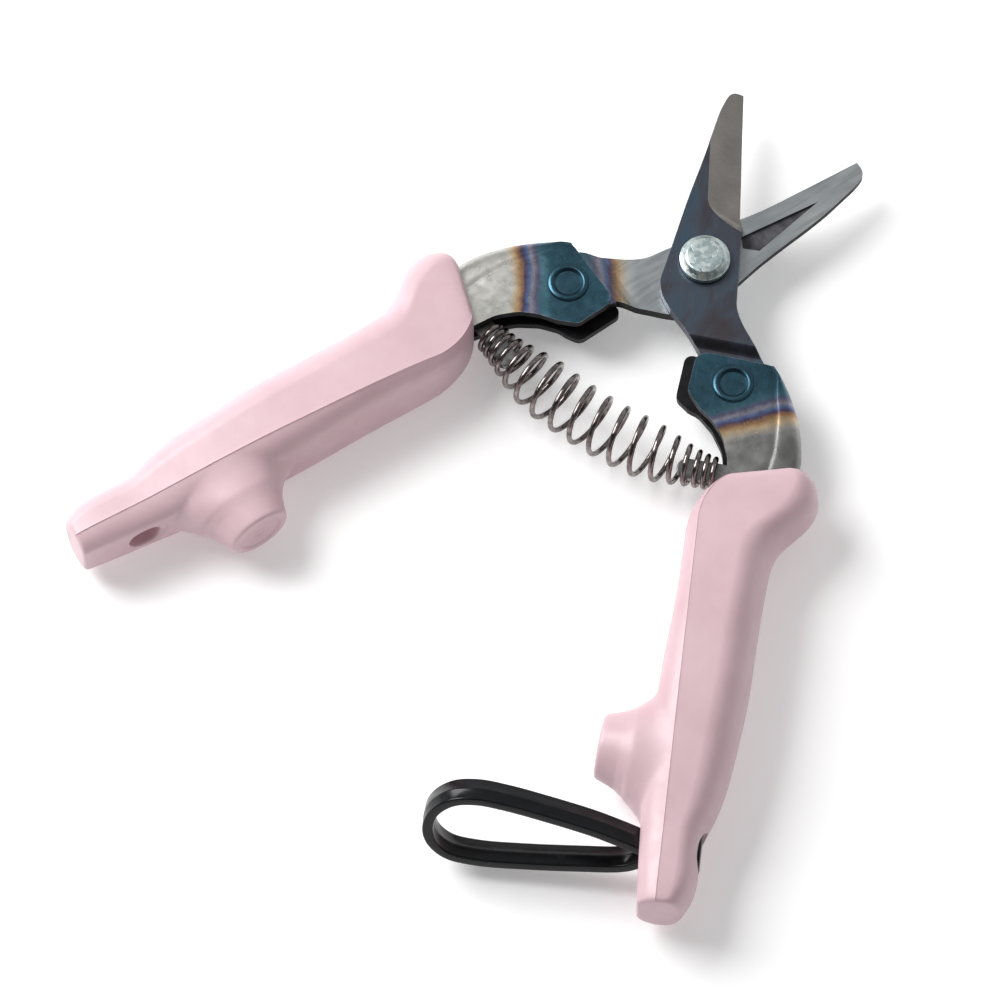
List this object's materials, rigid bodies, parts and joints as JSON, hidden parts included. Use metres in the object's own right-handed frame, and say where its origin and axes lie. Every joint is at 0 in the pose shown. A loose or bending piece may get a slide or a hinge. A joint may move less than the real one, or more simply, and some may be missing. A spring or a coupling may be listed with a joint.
{
  "type": "floral snips",
  "caption": "Spring-loaded floral snips with short crossed blades on a rivet, folded tangs, moulded pink grips with stops, a barrel spring and a rubber lock strap.",
  "frame": {"origin": "centre of the pivot rivet's flat head", "axes": "+Z out of the rivet's head along the pivot, +Y along the line that halves the open blades towards their tips, +X towards the right grip"},
  "size_m": [0.1458, 0.1679, 0.0212],
  "materials": {
    "blued_steel": "dark blued, satin ground bevel",
    "ground_steel": "satin ground",
    "zinc_plate": "zinc plated, semi bright",
    "washer_steel": "plain",
    "tang_steel_right": "satin with heat tint",
    "tang_steel_left": "satin with heat tint",
    "rivet_steel": "blued",
    "pink_grip": "satin",
    "spring_steel": "drawn wire, semi bright",
    "black_rubber": "semi gloss",
    "stopper_rubber": "satin"
  },
  "bodies": {
    "right_half": {"front_blade": "blued_steel", "pivot_rivet": "zinc_plate", "pivot_washer": "washer_steel", "right_tang": "tang_steel_right", "right_tang_rivet": "rivet_steel", "right_grip": "pink_grip", "strap_stopper": "stopper_rubber", "return_spring": "spring_steel"},
    "left_half": {"rear_blade": "ground_steel", "left_tang": "tang_steel_left", "left_tang_rivet": "rivet_steel", "left_grip": "pink_grip"},
    "strap": {"lock_strap": "black_rubber"}
  },
  "joints": [
    {"name": "handle_pivot", "type": "hinge", "parent": "right_half", "child": "left_half", "pos_m": [0, 0, -0.0056], "axis": [0, 0, 1], "range_deg": [0, 44.6], "stiffness_Nm_per_rad": 1.3, "springref_deg": -6.88, "deforming": ["return_spring", "lock_strap"]},
    {"name": "strap_swing", "type": "hinge", "parent": "right_half", "child": "strap", "pos_m": [0.06127, -0.10788, -0.0056], "axis": [0, 0, 1], "range_deg": [-7, 7], "stiffness_Nm_per_rad": 0.02}
  ]
}
